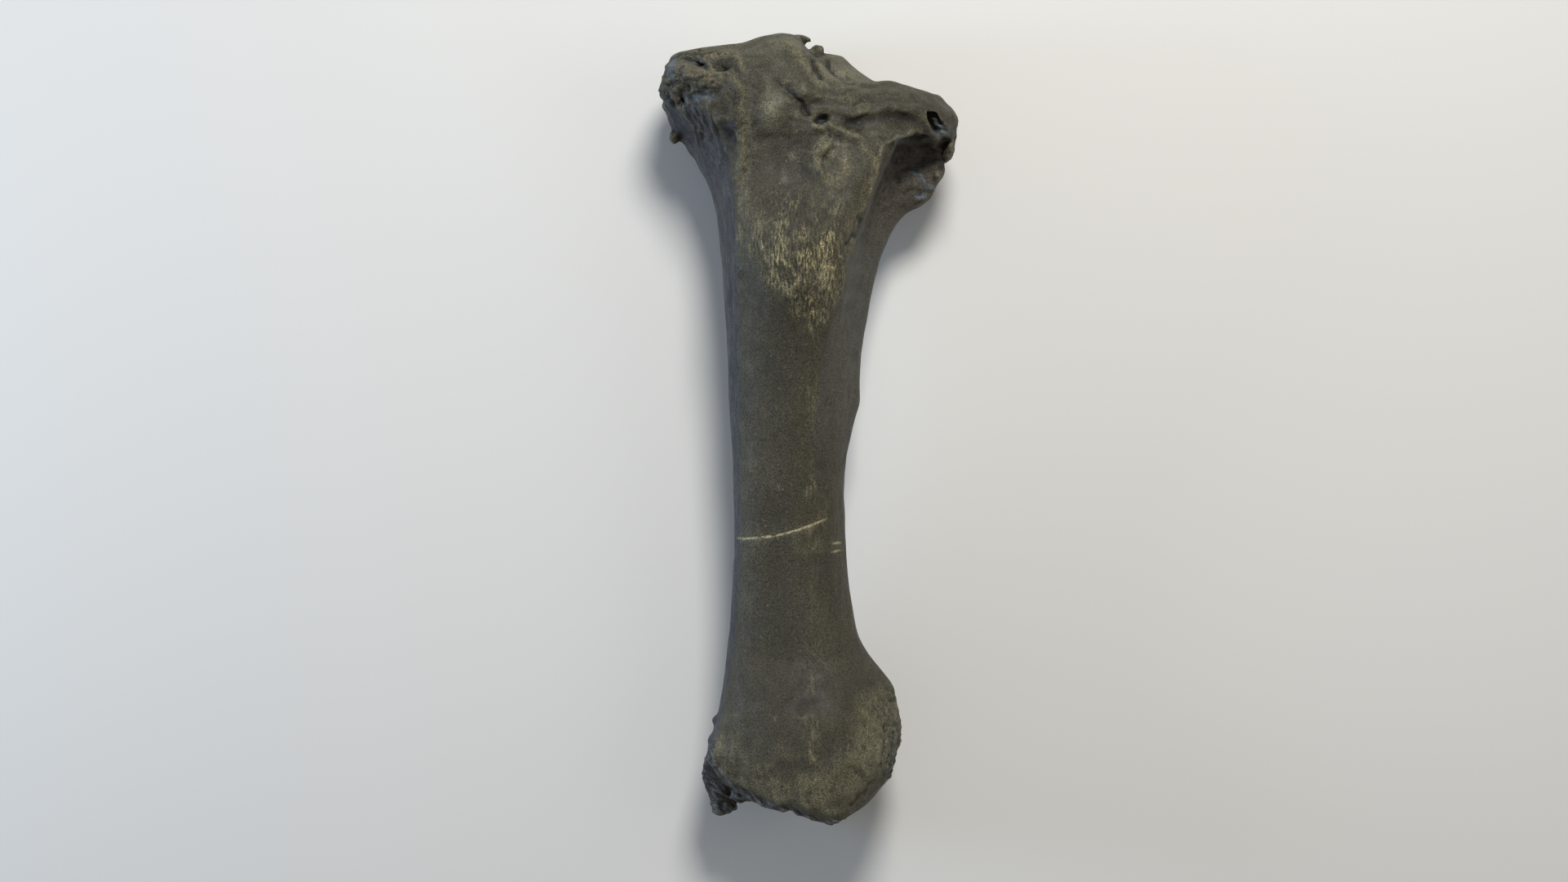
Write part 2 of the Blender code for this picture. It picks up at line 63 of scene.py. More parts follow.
# The camera looks straight down. At REFERENCE_HEIGHT over the floor, one pixel of a 1920 x 1080 picture is
# PIXEL wide, and the middle of the picture is over VIEW_CENTRE.
PIXEL = 0.7255
VIEW_CENTRE = (-23.2, -12.8)
REFERENCE_HEIGHT = 110.0
CAMERA_HEIGHT = 3000.0
PICTURE_WIDTH = 1920
SENSOR = 36.0

# Lights: name, place and size in metres, power in watts and colour. All of them point at LIT_PLACE.
LIGHTS = (
    ("key", (0.3, 1.5, 1.9), 0.7, 49.0, (1.0, 0.975, 0.93)),
    ("cool_side", (-2.0, 0.1, 0.6), 0.7, 20.0, (0.6, 0.76, 1.0)),
    ("outer_side", (1.9, 0.2, 1.7), 1.4, 6.0, (1.0, 0.96, 0.9)),
)
LIT_PLACE = (0.0, 0.0, 0.1)
WORLD_COLOUR = (0.98, 0.98, 0.96, 1.0)
WORLD_STRENGTH = 0.2
# The floor in metres: half its side, and how far it lies under the bone
FLOOR_REACH = 6.0
FLOOR_DROP = 0.0002

# Balls fused into the bone: centre, radii and turn about Z in degrees
LUMPS = (
    # Hook and knob on the eminence
    ((-4.5, 345.4, 97), (5.5, 1.9, 4), -14),
    ((8, 336.5, 92), (4.2, 4.0, 5), 0),
    # Folds and knobs on the side of the medial condyle
    ((-118.5, 296, 112), (3.2, 8.5, 5), 6),
    ((-124.5, 293, 99), (3.0, 6.5, 6), 12),
    ((-129.5, 298.5, 88), (4.0, 5.5, 7), 0),
    ((-120.5, 262.5, 72), (5.0, 6.5, 8), -20),
    # Knobs on the medial edge of the ankle end, and the tip of the malleolus
    ((-85.5, -264, 74), (3.6, 4.8, 6), 0),
    ((-88.5, -280, 78), (3.0, 4.6, 7), 0),
    ((-77.5, -340, 67), (10.5, 8.5, 10), 15),
    ((-61, -329.5, 80), (10.5, 6.5, 15), -8),
    # Rim and broken edge of the lateral condyle
    ((124.5, 246.5, 82), (3.6, 9.5, 16), -20),
    ((114.5, 226, 68), (5.0, 6.0, 9), 0),
    ((108.5, 215, 66), (5.0, 3.6, 8), 20),
    ((101, 204.5, 66), (6.5, 3.6, 9), 20),
    # Facets inside the cavity of the lateral condyle
    ((109, 273.5, 104), (5.0, 2.6, 8), -30),
    ((113.5, 268, 102), (6.5, 2.6, 8), -25),
    ((117, 262, 99), (6.5, 2.8, 8), -25),
)
# Hollows cut into the bone, as for the lumps
CUTS = (
    # Notch and hollow beside the hook
    ((-1.2, 340.2, 97), (3.4, 3.2, 12), -10),
    ((5.5, 329.5, 101), (2.4, 2.0, 4), 0),
    # Crescent crack and pockets of the medial corner
    ((-102, 323.5, 123), (6.0, 1.5, 4), -12),
    ((-94, 319.5, 123), (1.8, 4.5, 4), 30),
    ((-114.6, 287, 114), (2.4, 4.8, 4), 8),
    ((-120.5, 286, 105), (1.8, 4.5, 5), 14),
    # Cavity, crack and broken edge of the lateral condyle
    ((117, 263, 113), (5.6, 9.5, 14), 38),
    ((109, 273, 116), (4.6, 6.0, 10), 30),
    ((120.5, 256.5, 102), (3.6, 5.8, 7), 30),
    ((119.4, 243, 78), (1.6, 9.5, 12), 0),
    ((112, 220.5, 72), (7.0, 1.3, 9), 15),
    ((105, 209.5, 70), (7.5, 1.2, 9), 20),
)

# Soft swells and dips on the front: centre, radii, turn in degrees and height
SWELLS = (
    ((-24, 236), (22, 30), 0, -1.5),
    ((-36, 279), (9, 12), 20, 1.6),
    ((-8, 291), (9, 6), -40, 1.2),
    ((-109, 316), (6, 5), 0, 1.2),
    ((-78, 326), (10, 3), 0, 1.5),
    ((-92, 301), (14, 4), 4, 1.2),
    ((36, 264), (9, 5), -20, -2.0),
    ((84, 267), (12, 6), 0, -2.0),
    ((20, 236), (9, 12), 0, 1.5),
    ((95, 231), (7, 4), 35, -2.5),
    ((92, 240), (10, 7), 0, 1.5),
    ((-62, 300), (8, 10), 0, 0.8),
    ((10, 316), (5, 8), 20, 1.5),
    ((68, -318), (8, 12), -35, -1.5),
    ((72, -262), (5, 26), 0, -1.0),
)
# Ridges and creases on the front: line, half width and height
LINES = (
    # Medial corner, and the crest that bounds the medial side below it
    (((-121, 317), (-113, 308), (-98, 312), (-81, 308), (-67, 304), (-61, 294)), 3.6, 1.3),
    (((-107, 327), (-97, 325), (-90, 319), (-86, 314)), 2.6, 1.2),
    (((-67, 330), (-61, 320), (-61, 308)), 3.4, 0.9),
    (((-115, 297), (-99, 294), (-90, 287), (-86, 277), (-79, 264), (-72, 243), (-67, 218)), 2.6, 1.4),
    (((-67, 218), (-64, 190), (-63, 150), (-62, 110)), 3.0, 0.7),
    (((-78, 272), (-71, 269), (-66, 263), (-61.5, 254), (-60, 242), (-62, 222)), 3.0, 1.1),
    # Folds that run down the medial side from the corner
    (((-119, 299), (-113, 287), (-105, 268), (-97, 248)), 1.8, 1.5),
    (((-110, 294), (-104, 279), (-96, 256), (-89, 236)), 1.7, 1.3),
    (((-101, 292), (-96, 277), (-89, 256)), 1.7, 1.2),
    (((-93, 288), (-89, 276), (-83, 256), (-79, 234)), 1.7, 1.2),
    (((-115, 293), (-109, 279), (-102, 262)), 1.5, -1.4),
    (((-106, 290), (-100, 275), (-94, 258)), 1.5, -1.2),
    # Eminence and lateral facet
    (((-22, 339), (-12, 329), (-5, 319), (1, 309), (9, 300)), 3.6, 1.2),
    (((3.5, 322), (4.5, 314), (8, 305)), 1.9, -1.6),
    (((15, 325), (19, 315), (28, 307), (37, 302)), 2.2, -1.8),
    # Flow lines across the neck of the lateral condyle
    (((8, 297), (20, 294), (35, 298), (50, 304)), 2.8, 0.8),
    (((8, 288), (28, 287), (42, 290), (49, 294)), 2.6, 0.7),
    (((4, 283), (24, 281), (38, 282), (46, 286)), 2.2, -0.9),
    # Groove, pit lip and crescent
    (((-13, 288.5), (-8.5, 283), (-5.5, 278), (-2.5, 274)), 2.8, -1.4),
    (((5, 262), (11, 262.5), (17, 263), (27, 259), (37, 254), (43, 251)), 2.8, 1.1),
    (((15, 245), (8, 241), (5, 233), (6, 225), (10, 218)), 3.0, 1.1),
    (((20, 243), (13, 236), (12, 228)), 2.4, -1.0),
    # Lateral lip, ledge and the edge beside the fossa
    (((34, 272), (49, 276), (67, 279), (86, 278), (96, 277.5), (102, 270), (109, 260), (119, 249)), 3.0, 1.1),
    (((73, 250), (76, 255), (83, 256), (90, 259.5), (100, 257.5), (109, 254), (117, 248)), 2.4, 1.4),
    (((76, 255), (70, 251), (63, 246), (60, 235), (57, 224), (53, 209), (48, 195), (44, 184)), 2.0, 1.4),
    (((90, 228), (96, 228), (101, 225), (103, 220)), 2.2, 1.8),
    # Nick beside the tuberosity
    (((43, 184), (41, 172), (37, 166), (33, 160)), 2.0, -2.0),
    # Lower border of the front, and the strip along the outer edge of the ankle end
    (((-88, -285), (-84, -297), (-78, -308), (-66, -321), (-47, -331), (-22, -338)), 2.4, 1.2),
    (((56, -246), (64, -262), (67, -276), (66, -292), (61, -306), (50, -320), (36, -334)), 2.0, -1.3),
)

# Bands of rough, yellowish bone on the front: line, half width and strength
TAN_BANDS = (
    (((-118, 306), (-100, 305), (-84, 307), (-71, 297), (-65, 283), (-61, 268), (-58, 248)), 10, 1.0),
    (((-58, 248), (-59, 212), (-56, 192), (-46, 178)), 9, 1.0),
    (((-92, 327), (-78, 331), (-65, 327), (-60, 314)), 5, 0.8),
    (((-36, 340), (-20, 337), (-12, 328), (-5, 319), (2, 308), (8, 300)), 5, 0.9),
    (((14, 250), (6, 240), (6, 230), (10, 220), (22, 214), (32, 228), (26, 246), (14, 236)), 8, 0.9),
    (((8, 262), (28, 260), (44, 250), (52, 238)), 5, 0.7),
    (((61, 246), (57, 226), (50, 208), (43, 190), (34, 172)), 5, 0.9),
    (((14, 302), (40, 290), (66, 290), (94, 286)), 9, 0.5),
    (((6, 292), (30, 286), (50, 282)), 5, 0.7),
    (((8, 320), (14, 309), (26, 300)), 4, 0.8),
    (((-85, -282), (-70, -300), (-36, -316), (0, -322), (36, -306), (54, -280), (56, -250)), 19, 0.9),
)
# Spots of paler, smoother bone on the front: centre, radii and strength
PALE_SPOTS = (
    ((-36, 277), (9, 13), 0.9),
    ((-27, 283), (3, 4), 0.8),
    ((36, 313), (19, 8), 1.0),
    ((-16, 237), (5, 4), 0.6),
    ((-22, 216), (5, 3), 0.5),
    ((4, 263), (4, 2), 0.9),
    ((14, 299), (4, 3), 0.8),
    ((10, 128), (9, 16), 0.8),
    ((54, -286), (13, 18), 0.5),
    ((20, -340), (8, 4), 0.6),
    ((37, -341), (2, 2.5), 1.0),
    ((76, -262), (5, 30), 0.5),
    ((-30, -257), (1.6, 2.6), 1.0),
    ((-5, -257), (1.6, 2.6), 0.9),
    ((67, -256), (3, 4), 0.9),
    ((-28, -55), (2.2, 1.8), 0.8),
    ((-3, -59), (3, 1.6), 0.7),
)
# Spots of painted shade on the front, which darken the places that the key light from above lights most:
# centre, radii and strength
PAINTED_SHADE_SPOTS = (
    ((-10, 192), (48, 26), 0.42),
    ((78, 290), (38, 20), 0.42),
    ((30, 292), (30, 12), 0.28),
    ((-68, 265), (9, 40), 0.5),
    ((0, -240), (62, 26), 0.38),
    ((-22, 84), (30, 36), 0.24),
)
# Spots of painted bluish light on the front, glints of cool side light in its hollows and on its broken faces:
# centre, radii and strength
PAINTED_COOL_LIGHT_SPOTS = (
    ((111, 271), (5, 3.5), 0.9),
    ((117, 264), (6, 6.5), 1.0),
    ((11, 267), (4, 4), 0.8),
    ((-4.5, 277), (3, 4), 0.7),
    ((79, 253), (6, 3), 0.7),
    ((96, 229), (6, 4), 1.0),
    ((101, 223), (4, 4), 0.9),
    ((107, 216), (7, 3), 1.0),
    ((99, 208), (7, 3), 1.0),
    ((-98, 322), (6, 2.5), 0.9),
    ((-93, 317), (4, 2.5), 0.8),
    ((-123, 317), (5, 12), 0.9),
    ((-70, 263), (5, 5), 0.9),
    ((-97, 290), (14, 4), 0.9),
    ((69, -290), (5, 40), 0.3),
)
# The border of the front over the malleolus: places along x, and its y there
MALLEOLUS_BORDER = (
    (-95, -88, -84, -78, -66, -47, -22, 0, 14, 30, 44, 56),
    (-266, -285, -297, -306, -318, -327, -334, -341, -345, -346, -340, -345),
)
# The rough shield of the tuberosity: places along y, and its middle and half width there
TUBEROSITY = (
    (74, 92, 110, 130, 160, 190, 215),
    (2, 2, 1, -6, -13, -12, -12),
    (0, 12, 30, 43, 52, 54, 40),
)
# The edge of the fossa under the lateral condyle: places along y, and its x there
FOSSA_EDGE = ((165, 184, 195, 209, 224, 235, 246, 262), (36, 46, 49.5, 54.5, 58, 61, 63, 72))
# The soft crest down the front of the shaft: places along y, and its x there
CREST = ((-60, 17, 53, 90, 126, 169, 210), (-6, -1.5, 6, 17, 28, 38, 50))

# The medial side as the front shows it: places along y, and x of its front edge and of its outline there
MEDIAL_EDGE = (
    (-300, -262, -200, -100, 0, 126, 162, 191, 224, 249, 271, 296),
    (-88, -79, -67, -60, -61, -62, -63, -65, -68, -74, -82, -115),
    (-94, -86, -77, -72, -75, -78, -81, -88, -103, -117, -128, -136),
)

# Across the medial side, its fine lines are spaced as if it were this wide
FAN_WIDTH = 25.0

# Uneven relief: the kind of surface, the height, the shift and scale of its noise, and the noise's layers.
# The bent rows are drawn through places that wander by BEND_REACH.
PLAIN_RELIEF = (
    ("whole", 0.5, 0.0, (34.0, 34.0, 34.0), 2),
    ("shaft", 0.16, 0.0, (5.0, 26.0, 5.0), 2),
    ("lateral_shaft", 0.2, 75.0, (30.0, 70.0, 6.0), 2),
    ("grainy", 0.3, 10.0, (4.0, 4.0, 4.0), 2),
    ("fossa", 1.0, 51.0, (13.0, 9.0, 9.0), 2),
    ("ankle_rim", 1.7, 29.0, (7.0, 7.0, 7.0), 2),
)
BENT_RELIEF = (
    ("knee", 1.0, 90.0, (18.0, 12.0, 15.0), 3),
    ("corner", 2.6, 40.0, (15.0, 9.0, 12.0), 3),
    ("tuberosity", 0.6, 60.0, (4.4, 15.0, 8.0), 2),
    ("upper_tan", 0.35, 33.0, (4.4, 13.0, 8.0), 2),
)
FANNED_RELIEF = (
    ("flank", 0.6, 0.0, (5.0, 60.0, 9.0), 2),
)
BEND_REACH = 3.0
BEND_SCALE = 15.0
TUBEROSITY_RISE = 0.6
PIT_SCALE = 6.0
PIT_DEPTH = 1.4
FACET_CALM = 0.85

# The slanting ridges of the malleolus: height, scale, and the direction across them on the x-y plane
MALLEOLUS_RIDGE = 1.4
MALLEOLUS_SCALE = (7.0, 30.0, 12.0)
ACROSS_RIDGES = (0.59, 0.81)

# The drawn forms wander by DRAWN_REACH, and their heights vary along them by a share
DRAWN_REACH = 2.0
DRAWN_SCALE = 9.0
DRAWN_UNEVENNESS = 0.8

# The scratch across the lower shaft, as a, b and c of y = a + b x + c x x, and its ends in x
SCRATCH = (-87.5, 0.37, 0.0029)
SCRATCH_ENDS = (-66.0, 15.0)
# Two short marks beside it: the same, and their ends
MARKS = (
    ((-106.0, 0.10, 0.0), (19.0, 34.0)),
    ((-114.5, 0.16, 0.0), (19.0, 31.0)),
)
SCRATCH_DEPTH = 0.7
SCRATCH_HALF_WIDTH = 1.3

# Colours as they look on screen, from 0 to 255
TINTS = {
    "ground": (60, 58, 47),
    "light ground": (69, 65, 51),
    "outer plane": (78, 78, 72),
    "brown patch": (72, 64, 54),
    "grey cloud": (84, 81, 66),
    "rough tan": (104, 99, 76),
    # Painted shade: the rough corner of the knee end is darkened as if its hollows lay in shade
    "rough corner": (58, 57, 49),
    "pale bone": (132, 130, 110),
    "facet": (90, 89, 74),
    "between fibres": (46, 43, 35),
    "fibre": (194, 183, 135),
    # Medial side: its own dark grey, with painted bluish light of the cool side light
    "medial side": (50, 55, 65),
    # The medial side's fine lines are its grain; these two colours are painted highlights on the lines and
    # painted shade between them
    "painted highlight on medial lines": (90, 94, 101),
    "painted shade between medial lines": (36, 38, 44),
    "malleolus": (60, 57, 53),
    # Painted highlight: bluish light on the raised ridges of the malleolus
    "painted malleolus ridge highlight": (84, 92, 108),
    # Fossa: its own brown, made lighter as painted fill light in the shadow under the ledge
    "fossa": (84, 77, 68),
    # Painted light: bluish glints of the cool side light
    "painted cool light": (84, 97, 110),
    # Painted shade in crevices
    "painted crevice shade": (34, 33, 30),
    # Painted highlight on raised edges
    "painted edge highlight": (118, 113, 90),
    # Painted shade in broad hollows
    "painted hollow shade": (42, 40, 36),
    "fleck": (126, 119, 90),
    "scratch": (170, 161, 129),
    "floor": (220, 220, 218),
}


def smooth_step(low, high, value):
    t = np.clip((value - low) / (high - low), 0.0, 1.0)
    return t * t * (3.0 - 2.0 * t)


class Noise:
    """Gradient noise from about -1 to 1, the same in each run."""

    def __init__(self, seed):
        random = np.random.default_rng(seed)
        self.order = random.permutation(256)
        directions = random.normal(size=(256, 3))
        self.directions = directions / np.linalg.norm(directions, axis=1)[:, None]

    def corner(self, cell):
        order = self.order
        return order[(order[(order[cell[:, 0] & 255] + cell[:, 1]) & 255] + cell[:, 2]) & 255]

    def at(self, points):
        cell = np.floor(points).astype(int)
        inside = points - cell
        ease = inside ** 3 * (inside * (inside * 6 - 15) + 10)
        total = np.zeros(len(points))
        for corner in itertools.product((0, 1), repeat=3):
            direction = self.directions[self.corner(cell + corner)]
            weight = np.prod(np.where(corner, ease, 1 - ease), axis=1)
            total += weight * ((inside - corner) * direction).sum(axis=1)
        return NOISE_GAIN * total

    def layers(self, points, scale, count):
        """Noise of a scale in millimetres, with finer layers of half the scale and half the height."""
        total = np.zeros(len(points))
        for layer in range(count):
            total += self.at(points * (2 ** layer) / np.asarray(scale) + LAYER_SHIFT * layer) / 2 ** layer
        return total

    def ridges(self, points, scale, count):
        """Sharp ridges between soft troughs, of a scale in millimetres."""
        total = np.zeros(len(points))
        for layer in range(count):
            value = self.at(points * (2 ** layer) / np.asarray(scale) + RIDGE_SHIFT * layer)
            total += (1.0 - RIDGE_SHARPNESS * np.abs(value)) / 2 ** layer
        return total


NOISE = Noise(SEED)


def oval(points, centre, radii, turn=0.0):
    """A bell from 1 at the centre of an oval on the x-y plane, falling to 0 outside it."""
    a = math.radians(turn)
    x, y = points[:, 0] - centre[0], points[:, 1] - centre[1]
    along, across = x * math.cos(a) + y * math.sin(a), y * math.cos(a) - x * math.sin(a)
    return np.exp(-(along / radii[0]) ** 2 - (across / radii[1]) ** 2)


def line_bell(points, line, half_width):
    """A bell across a line of straight stretches on the x-y plane."""
    nearest = np.full(len(points), np.inf)
    for start, end in zip(line, line[1:]):
        start = np.array(start, float)
        along = np.array(end, float) - start
        t = np.clip((points[:, :2] - start) @ along / (along @ along), 0.0, 1.0)
        apart = points[:, :2] - start - t[:, None] * along
        nearest = np.minimum(nearest, np.linalg.norm(apart, axis=1))
    return np.exp(-(nearest / half_width) ** 2)


def points_of(mesh):
    flat = np.empty(len(mesh.vertices) * 3)
    mesh.vertices.foreach_get("co", flat)
    return flat.reshape(-1, 3) / MM


def normals_of(mesh):
    flat = np.empty(len(mesh.vertices) * 3, np.float32)
    mesh.vertex_normals.foreach_get("vector", flat)
    return flat.reshape(-1, 3).astype(float)


def set_points(mesh, points):
    mesh.vertices.foreach_set("co", (points * MM).ravel())
    mesh.update()


def softened(mesh, points, iterations, share=1.0):
    """The points after each has been moved many times towards the middle of its neighbours."""
    flat = np.empty(len(mesh.edges) * 2, np.int32)
    mesh.edges.foreach_get("vertices", flat)
    first, second = flat.reshape(-1, 2).T
    count = len(points)
    neighbours = np.bincount(first, minlength=count) + np.bincount(second, minlength=count)
    step = SOFTEN_STEP * np.broadcast_to(share, count)[:, None]
    for _ in range(iterations):
        total = np.stack([
            np.bincount(first, points[second, axis], count) + np.bincount(second, points[first, axis], count)
            for axis in range(3)
        ], axis=1)
        points = points + step * (total / neighbours[:, None] - points)
    return points


def linked_object(name, data):
    made = bpy.data.objects.new(name, data)
    bpy.context.scene.collection.objects.link(made)
    return made


def mesh_from(mesh, name):
    """A mesh made of a bmesh, which is freed."""
    data = bpy.data.meshes.new(name)
    mesh.to_mesh(data)
    mesh.free()
    return data


def ball(mesh, centre, radii, turn):
    """Adds an uneven ball to a bmesh, in metres."""
    rotation = Euler((0, 0, math.radians(turn)))
    place = Matrix.LocRotScale(Vector(centre), rotation, Vector(radii))
    made = bmesh.ops.create_icosphere(mesh, subdivisions=BALL_SUBDIVISIONS, radius=1.0, matrix=place)
    points = np.array([vertex.co for vertex in made["verts"]])
    scale = 1 + BALL_UNEVENNESS * NOISE.layers(points, BALL_LUMP_SCALE, 2)
    for vertex, point, size in zip(made["verts"], points, scale):
        vertex.co = (Vector(centre) + (Vector(point) - Vector(centre)) * size) * MM


def balls_object(name, balls):
    mesh = bmesh.new()
    for centre, radii, turn in balls:
        ball(mesh, centre, radii, turn)
    return linked_object(name, mesh_from(mesh, name))


def joined_mesh(node):
    """The node's mesh with its face corners joined again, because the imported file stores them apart."""
    mesh = bmesh.new()
    mesh.from_mesh(node.data)
    bmesh.ops.remove_doubles(mesh, verts=mesh.verts, dist=JOIN_DISTANCE * MM)
    data = mesh_from(mesh, "bone_start")
    data.materials.clear()
    return data


def with_modifier(target, kind, **settings):
    modifier = target.modifiers.new(kind.lower(), kind)
    for key, value in settings.items():
        setattr(modifier, key, value)


def applied_mesh(target, name):
    """The target's mesh after its modifiers. The target itself is removed."""
    bpy.context.view_layer.update()
    graph = bpy.context.evaluated_depsgraph_get()
    mesh = bpy.data.meshes.new_from_object(target.evaluated_get(graph))
    mesh.name = name
    bpy.data.objects.remove(target)
    return mesh


def joined_copy(first, second, name):
    """One mesh that holds the faces of both meshes."""
    mesh = bmesh.new()
    mesh.from_mesh(first)
    mesh.from_mesh(second)
    return mesh_from(mesh, name)


def rough_base(node):
    """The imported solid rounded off, with the scene's own hollows and lumps, as one finely meshed surface."""
    rounded = linked_object("rounded", joined_mesh(node))
    with_modifier(rounded, "SUBSURF", levels=1)
    hollows = balls_object("hollows", CUTS)
    with_modifier(rounded, "BOOLEAN", operation="DIFFERENCE", object=hollows, use_self=True)
    cut = applied_mesh(rounded, "cut")
    bpy.data.objects.remove(hollows)
    lumps = balls_object("lumps", LUMPS)
    both = joined_copy(cut, lumps.data, "both")
    bpy.data.objects.remove(lumps)
    base = linked_object("base", both)
    with_modifier(base, "REMESH", mode="VOXEL", voxel_size=VOXEL * MM)
    return applied_mesh(base, "bone_base")


def spots_share(points, spots):
    """The share of the nearest of several spots, at its strength."""
    share = np.zeros(len(points))
    for centre, radii, strength in spots:
        share = np.maximum(share, strength * oval(points, centre, radii))
    return share


def bands_share(points, bands):
    share = np.zeros(len(points))
    for line, half_width, strength in bands:
        share = np.maximum(share, strength * line_bell(points, line, half_width))
    return share


def fan_place(x, y):
    """How far across the medial side a place is: from 0 at its front edge to 1 at the outline."""
    edge = np.interp(y, MEDIAL_EDGE[0], MEDIAL_EDGE[1])
    outline = np.interp(y, MEDIAL_EDGE[0], MEDIAL_EDGE[2])
    return (edge - x) / (edge - outline)


# The kinds of surface that the material reads
MASKS = (
    "tuberosity", "tan", "pale", "painted_shade", "blue", "facets", "medial", "outer_plane", "fossa", "malleolus",
    "corner", "knee", "fan", "seen",
)


class Region:
    """Where each kind of surface lies, as shares from 0 to 1 at each point of the mesh.

    The limits are places along x, y and z in millimetres, or how far the surface faces along an axis.
    """

    def __init__(self, points, normals):
        wander = NOISE.layers(points, 22.0, 3)
        self.whole = 1.0
        self.front = smooth_step(0.1, 0.6, normals[:, 2])
        self.seen = smooth_step(-0.05, 0.3, normals[:, 2])
        self.find_ends(points, normals, wander)
        self.find_sides(points, normals)
        self.find_tuberosity(points, wander)
        self.find_colours(points, wander)

    def find_ends(self, points, normals, wander):
        """The knee end with its facets, its rough corner and its fossa, and the ankle end."""
        x, y, z = points.T
        knee_facet = smooth_step(0.45, 0.8, normals[:, 1]) * smooth_step(262.0, 280.0, y)
        ankle_facet = smooth_step(0.35, 0.7, -normals[:, 1]) * smooth_step(-290.0, -305.0, y)
        self.facets = np.maximum(knee_facet, ankle_facet)
        self.knee = smooth_step(205.0, 262.0, y + 14 * wander) * (1 - knee_facet)
        corner = smooth_step(-70.0, -92.0, x + 6 * wander) * smooth_step(284.0, 298.0, y)
        self.corner = corner * (1 - knee_facet)
        fossa_edge = np.interp(y, FOSSA_EDGE[0], FOSSA_EDGE[1])
        self.fossa = smooth_step(0.0, 4.0, x - fossa_edge + wander) * smooth_step(146.0, 126.0, z)
        self.fossa *= smooth_step(150.0, 215.0, y) * smooth_step(258.0, 250.0, y) * self.seen
        border = np.interp(x, MALLEOLUS_BORDER[0], MALLEOLUS_BORDER[1])
        self.malleolus = smooth_step(1.5, -2.5, y - border + 1.5 * wander) * self.seen
        self.ankle_rim = smooth_step(62.0, 70.0, x) * smooth_step(-228.0, -240.0, y)
        self.ankle_rim *= smooth_step(45.0, 65.0, z)

    def find_sides(self, points, normals):
        """The shaft, its medial and lateral sides and the plane beside its crest."""
        x, y = points[:, 0], points[:, 1]
        self.shaft = smooth_step(215.0, 150.0, y) * smooth_step(-275.0, -215.0, y)
        self.lateral_shaft = smooth_step(0.35, 0.75, normals[:, 0]) * self.shaft
        self.fan = fan_place(x, y)
        beyond_edge = np.maximum(smooth_step(0.02, 0.16, self.fan), smooth_step(0.0, -0.2, normals[:, 2]))
        self.medial = smooth_step(0.05, 0.45, -normals[:, 0]) * beyond_edge * smooth_step(302.0, 290.0, y)
        self.medial *= smooth_step(-0.9, -0.5, normals[:, 2])
        self.flank = self.medial * smooth_step(-40.0, 200.0, y) * (1 - self.corner)
        self.outer_plane = smooth_step(-2.0, 8.0, x - np.interp(y, CREST[0], CREST[1]))
        self.outer_plane *= smooth_step(200.0, 165.0, y) * smooth_step(-60.0, 20.0, y)

    def find_tuberosity(self, points, wander):
        """The shield of fibres, with a ragged edge, weaker towards the knee."""
        x, y = points[:, 0], points[:, 1]
        middle = np.interp(y, TUBEROSITY[0], TUBEROSITY[1])
        inside = np.interp(y, TUBEROSITY[0], TUBEROSITY[2]) - np.abs(x - middle)
        ragged = 7 * wander + 7 * NOISE.at(points / (5.0, 22.0, 9.0) + 3.0)
        self.tuberosity = smooth_step(-6.0, 22.0, inside + ragged) * self.front
        self.tuberosity *= smooth_step(220.0, 176.0, y + 0.8 * ragged)
        self.tuberosity *= 1 - 0.4 * smooth_step(150.0, 185.0, y)

    def find_colours(self, points, wander):
        """The bands and spots of other colour, the spots of painted shade and of painted cool light, and where
        the bands are rough.
        """
        y, z = points[:, 1], points[:, 2]
        tan = smooth_step(0.2, 0.8, bands_share(points, TAN_BANDS) + 0.25 * wander)
        self.tan = tan * smooth_step(-0.1, 0.25, self.front)
        self.upper_tan = self.tan * smooth_step(170.0, 200.0, y)
        self.grainy = np.maximum(self.tan * (y > 0), self.corner)
        self.pitted = np.maximum(self.corner, 0.5 * self.tan * self.knee)
        self.pale = spots_share(points, PALE_SPOTS) * (z > 60)
        # Painted shade, in spots on the faces seen from the front
        self.painted_shade = spots_share(points, PAINTED_SHADE_SPOTS) * self.seen
        # Painted light: bluish glints of cool side light, in spots with a little noise
        blue = spots_share(points, PAINTED_COOL_LIGHT_SPOTS) + 0.3 * NOISE.at(points / 6.0 + 9.0)
        self.blue = smooth_step(0.1, 0.8, blue) * (z > 45)


def noise_relief(points, region, rows):
    relief = np.zeros(len(points))
    for kind, height, shift, scale, layers in rows:
        relief += height * NOISE.layers(points + shift, scale, layers) * getattr(region, kind)
    return relief


def uneven_relief(points, region):
    """The gentle swells of the whole bone, and the lumps, pits, fibres and lines of its rough parts."""
    bend = np.stack([NOISE.at(points / BEND_SCALE + 7 * axis) for axis in range(3)], axis=1)
    bent = points + BEND_REACH * bend
    fanned = np.stack([FAN_WIDTH * region.fan, points[:, 1], 0.3 * points[:, 2]], axis=1)
    relief = noise_relief(points, region, PLAIN_RELIEF) + noise_relief(bent, region, BENT_RELIEF)
    relief += noise_relief(fanned, region, FANNED_RELIEF) + TUBEROSITY_RISE * region.tuberosity
    pits = smooth_step(0.35, 0.8, NOISE.at(bent / PIT_SCALE + 5.0))
    return relief - PIT_DEPTH * pits * region.pitted


def sharpened(mesh, points, ends):
    """The points with the forms of the two ends brought out against their softened shape."""
    far = softened(mesh, points, SHARPEN_TIMES)
    return points + SHARPEN_SHARE * ends[:, None] * (points - far)


def malleolus_relief(points, region):
    """Slanting ridges on the malleolus: they run down towards the outer side."""
    x, y, z = points.T
    a, b = ACROSS_RIDGES
    slanted = np.stack([a * x + b * y, b * x - a * y, z], axis=1)
    return MALLEOLUS_RIDGE * NOISE.ridges(slanted, MALLEOLUS_SCALE, 2) * region.malleolus


